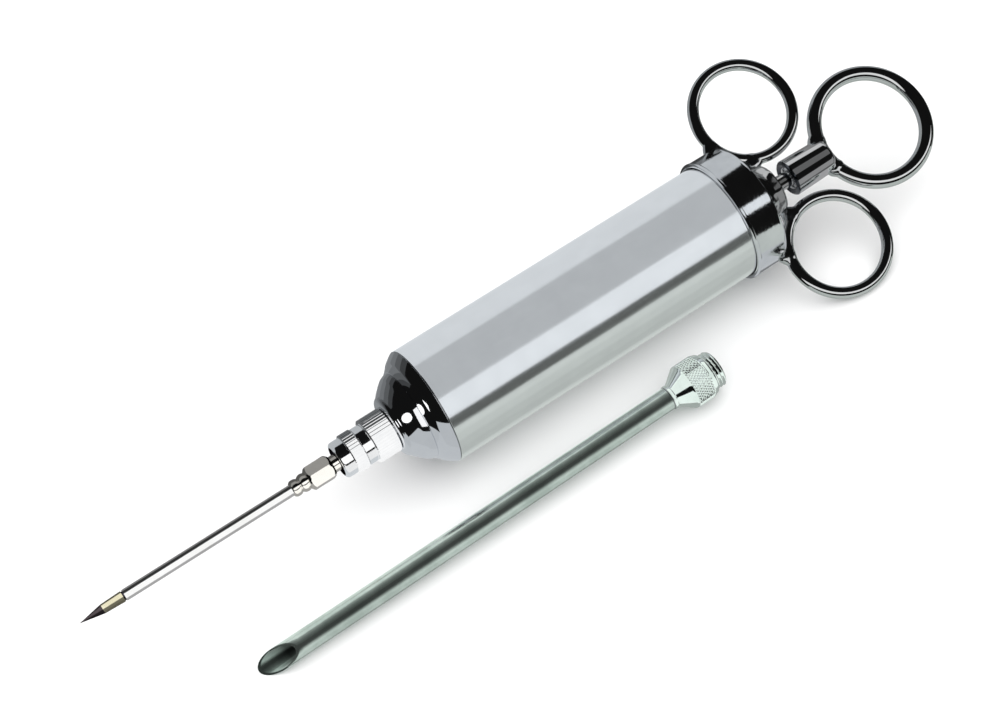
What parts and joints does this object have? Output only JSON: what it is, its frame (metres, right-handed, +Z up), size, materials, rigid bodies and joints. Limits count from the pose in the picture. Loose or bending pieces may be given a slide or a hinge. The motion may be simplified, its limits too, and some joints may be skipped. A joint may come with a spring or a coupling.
{
  "type": "meat injector",
  "caption": "Chromed kitchen syringe with a screw-off rear cap, finger and thumb rings, a pointed luer-lock needle and a spare wide bevelled needle beside it.",
  "frame": {"origin": "centre of the whole set's box at the table, midway between the needle's tip and the back of the thumb ring", "axes": "+X along the barrel from the needle towards the thumb ring, +Z up from the table, +Y away from the wide needle"},
  "size_m": [0.26, 0.0692, 0.0345],
  "materials": {
    "barrel_steel": "satin, polished along its length",
    "chrome": "polished chrome plate",
    "hub_nickel": "bright nickel plate, slightly warm",
    "needle_steel": "polished stainless steel",
    "point_nickel": "ground nickel silver, slightly yellow",
    "rod_steel": "polished stainless steel",
    "wide_steel": "satin stainless steel",
    "wide_nut_chrome": "polished chrome plate with a diamond knurl",
    "braze": "plated braze fillet",
    "solder": "dull solder line",
    "rubber": "matt black food-grade rubber",
    "washer_plastic": "white washer",
    "brass": "turned brass"
  },
  "bodies": {
    "barrel": {"barrel_tube": "barrel_steel", "nose_cap": "chrome", "nose_solder_ring": "solder"},
    "outlet_carriage": {"outlet_washer": "washer_plastic"},
    "adapter": {"adapter_body": "chrome"},
    "lock_ring": {"lock_ring": "chrome"},
    "needle": {"needle_hub": "hub_nickel", "needle_tube": "needle_steel", "needle_point": "point_nickel"},
    "cap_carriage": {"cap_gasket": "washer_plastic"},
    "rear_cap": {"rear_cap": "chrome", "gland_dome": "chrome", "gland_bush": "brass", "rod_seal": "rubber", "finger_ring_near": "chrome", "finger_ring_far": "chrome", "finger_braze_near": "braze", "finger_braze_far": "braze"},
    "piston_seals": {"piston_front_cup": "rubber", "piston_rear_cup": "rubber"},
    "plunger": {"plunger_rod": "rod_steel", "piston_nut": "rod_steel", "piston_front_disc": "rod_steel", "piston_core": "rod_steel", "piston_rear_disc": "rod_steel", "thumb_ferrule": "chrome", "thumb_ring": "chrome", "thumb_braze": "braze"},
    "wide_needle": {"wide_needle_tube": "wide_steel", "wide_needle_nut": "wide_nut_chrome", "wide_needle_solder": "solder"}
  },
  "joints": [
    {"name": "adapter_travel", "type": "slide", "parent": "barrel", "child": "outlet_carriage", "axis": [-1, 0, 0], "range_m": [0, 0.004]},
    {"name": "adapter_turn", "type": "hinge", "parent": "outlet_carriage", "child": "adapter", "pos_m": [-0.03055, 0.00154, 0.01725], "axis": [-1, 0, 0], "range_deg": [0, 1441]},
    {"name": "lock_ring_turn", "type": "hinge", "parent": "adapter", "child": "lock_ring", "pos_m": [-0.03055, 0.00154, 0.01725], "axis": [1, 0, 0], "range_deg": [0, 361]},
    {"name": "needle_travel", "type": "slide", "parent": "adapter", "child": "needle", "axis": [-1, 0, 0], "range_m": [0, 0.005]},
    {"name": "cap_travel", "type": "slide", "parent": "barrel", "child": "cap_carriage", "axis": [1, 0, 0], "range_m": [0, 0.00675]},
    {"name": "cap_turn", "type": "hinge", "parent": "cap_carriage", "child": "rear_cap", "pos_m": [-0.03055, 0.00154, 0.01725], "axis": [1, 0, 0], "range_deg": [0, 1621]},
    {"name": "plunger_slide", "type": "slide", "parent": "cap_carriage", "child": "piston_seals", "axis": [1, 0, 0], "range_m": [0, 0.085]},
    {"name": "plunger_spin", "type": "hinge", "parent": "piston_seals", "child": "plunger", "pos_m": [-0.03055, 0.00154, 0.01725], "axis": [1, 0, 0], "continuous": true},
    {"name": "wide_needle_lift", "type": "slide", "parent": "barrel", "child": "wide_needle", "axis": [0, 0, 1], "range_m": [0, 0.06]}
  ],
  "couplings": [
    {"joint": "adapter_turn", "follows": "adapter_travel", "rad_per_m": 6283.2},
    {"joint": "lock_ring_turn", "follows": "needle_travel", "rad_per_m": 1256.6},
    {"joint": "cap_turn", "follows": "cap_travel", "rad_per_m": 4188.8}
  ]
}
